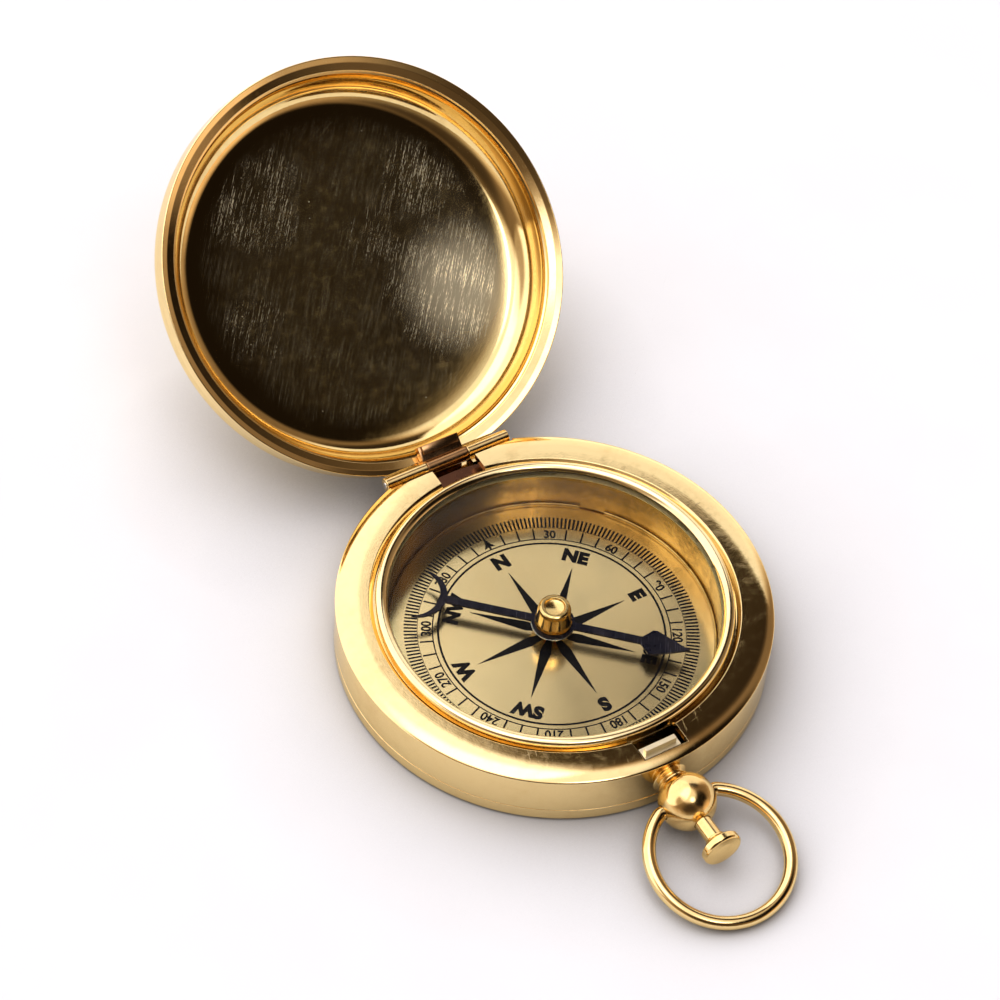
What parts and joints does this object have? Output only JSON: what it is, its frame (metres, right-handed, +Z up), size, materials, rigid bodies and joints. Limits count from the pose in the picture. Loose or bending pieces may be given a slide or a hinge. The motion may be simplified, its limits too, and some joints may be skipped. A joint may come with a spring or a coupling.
{
  "type": "pocket compass",
  "caption": "Brass hunter-case pocket compass with hinged lid, push button in the pendant, swinging bow ring and free pivoted needle.",
  "frame": {"origin": "centre of the flat underside of the case", "axes": "+Z up through the dial, -Y towards the pendant and button, +Y towards the lid hinge, +X along the hinge pin"},
  "size_m": [0.045, 0.0996, 0.0327],
  "materials": {
    "brass_polished": "polished",
    "brass_matte": "satin",
    "dial_brass": "fine satin with black print",
    "brass_spring": "half bright",
    "spring_steel": "browned",
    "bright_steel": "bright turned",
    "blued_steel": "blue-black",
    "jewel": "polished",
    "crystal": "clear flat",
    "gasket": "matt"
  },
  "bodies": {
    "case": {"case_body": "brass_polished", "back_cover": "brass_polished", "bezel_ring": "brass_polished", "capsule_cup": "brass_matte", "crystal_glass": "crystal", "crystal_gasket": "gasket", "dial_plate": "dial_brass", "dial_snap_ring": "brass_matte", "pivot_pin": "bright_steel", "pivot_collar": "brass_matte", "hinge_knuckle_left": "brass_polished", "hinge_knuckle_right": "brass_polished", "hinge_pin": "bright_steel", "lift_spring": "spring_steel", "spring_screws": "bright_steel", "pendant_neck": "brass_polished", "pendant_ball": "brass_polished"},
    "lid": {"lid_shell": "brass_polished", "lid_rim": "brass_polished", "lid_tongue": "brass_polished"},
    "pointer": {"needle": "blued_steel", "needle_collar": "bright_steel", "needle_cap": "brass_polished", "needle_jewel": "jewel"},
    "latch": {"latch_spring": "brass_spring"},
    "button": {"button_shaft": "brass_polished", "button_head": "brass_polished"},
    "bow": {"bow_ring": "brass_polished"}
  },
  "joints": [
    {"name": "lid_hinge", "type": "hinge", "parent": "case", "child": "lid", "pos_m": [0, 0.02225, 0.0056], "axis": [1, 0, 0], "range_deg": [-3, 141.5]},
    {"name": "button_slide", "type": "slide", "parent": "case", "child": "button", "axis": [0, 1, 0], "range_m": [0, 0.0011]},
    {"name": "latch_swing", "type": "hinge", "parent": "case", "child": "latch", "pos_m": [-0.01651, -0.01156, 0.0039], "axis": [0, 0, 1], "range_deg": [0, 3.9]},
    {"name": "bow_swing", "type": "hinge", "parent": "case", "child": "bow", "pos_m": [0, -0.0257, 0.0036], "axis": [1, 0, 0], "range_deg": [-120, 95]},
    {"name": "needle_spin", "type": "hinge", "parent": "case", "child": "pointer", "pos_m": [0, 0, 0.0047], "axis": [0, 0, 1], "continuous": true}
  ],
  "couplings": [
    {"joint": "latch_swing", "follows": "button_slide", "rad_per_m": 60.584}
  ]
}
